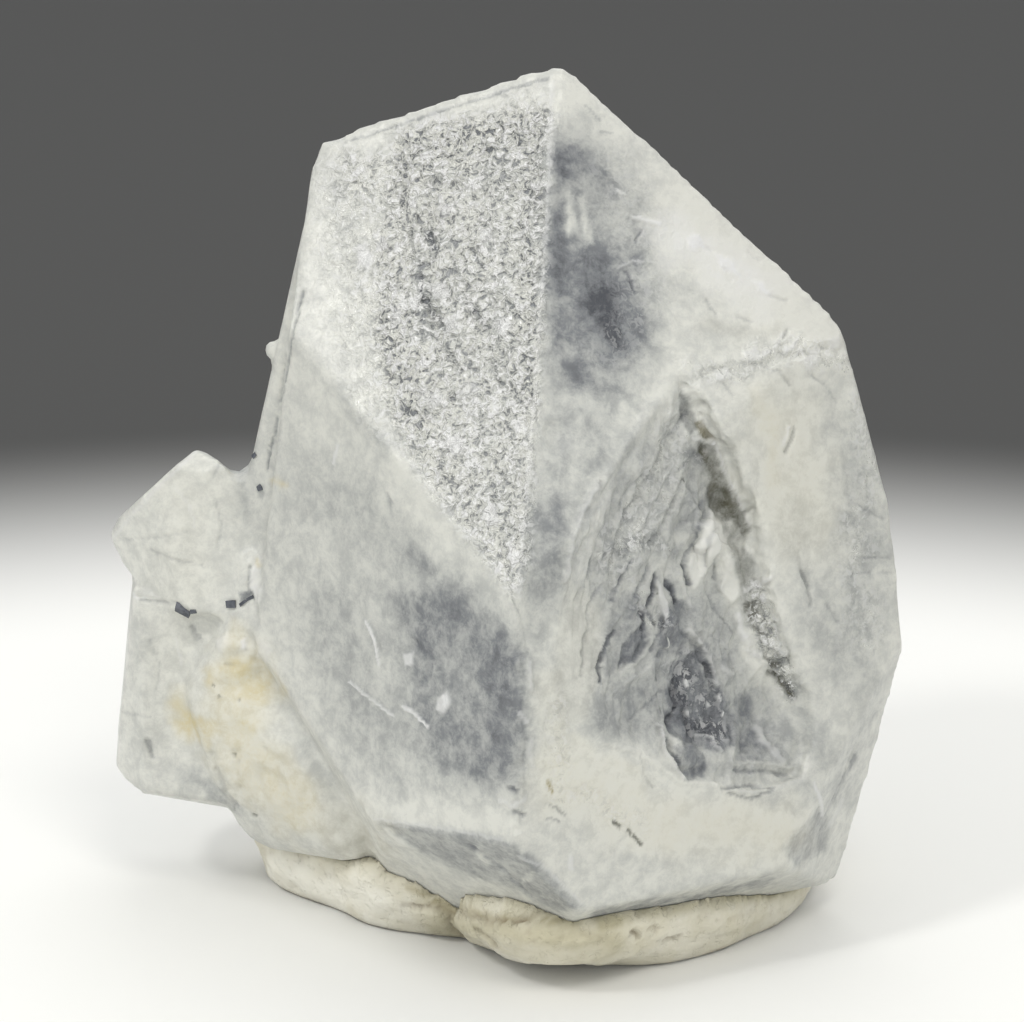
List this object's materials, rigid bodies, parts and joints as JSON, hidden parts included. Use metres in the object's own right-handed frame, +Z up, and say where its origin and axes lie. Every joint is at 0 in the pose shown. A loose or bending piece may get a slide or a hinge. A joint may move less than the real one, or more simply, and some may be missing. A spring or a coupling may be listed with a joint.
{
  "type": "quartz specimen",
  "caption": "Blunt milky quartz crystal with a broken hollow in its front and small side crystals, held upright in a lump of soft putty.",
  "frame": {"origin": "middle of the specimen's outline seen from above, on the table that it stands on", "axes": "+Z up, -Y towards the broad front with the broken hollow, +X to the viewer's right"},
  "size_m": [0.0404, 0.0318, 0.0439],
  "materials": {
    "quartz": "milky, half see-through, glassy flat faces with etch pits",
    "putty": "soft cream putty, matte",
    "dark_mineral": "dull dark grey grains"
  },
  "bodies": {
    "root": {"quartz_crystals": "quartz", "putty_base": "putty"}
  },
  "joints": []
}
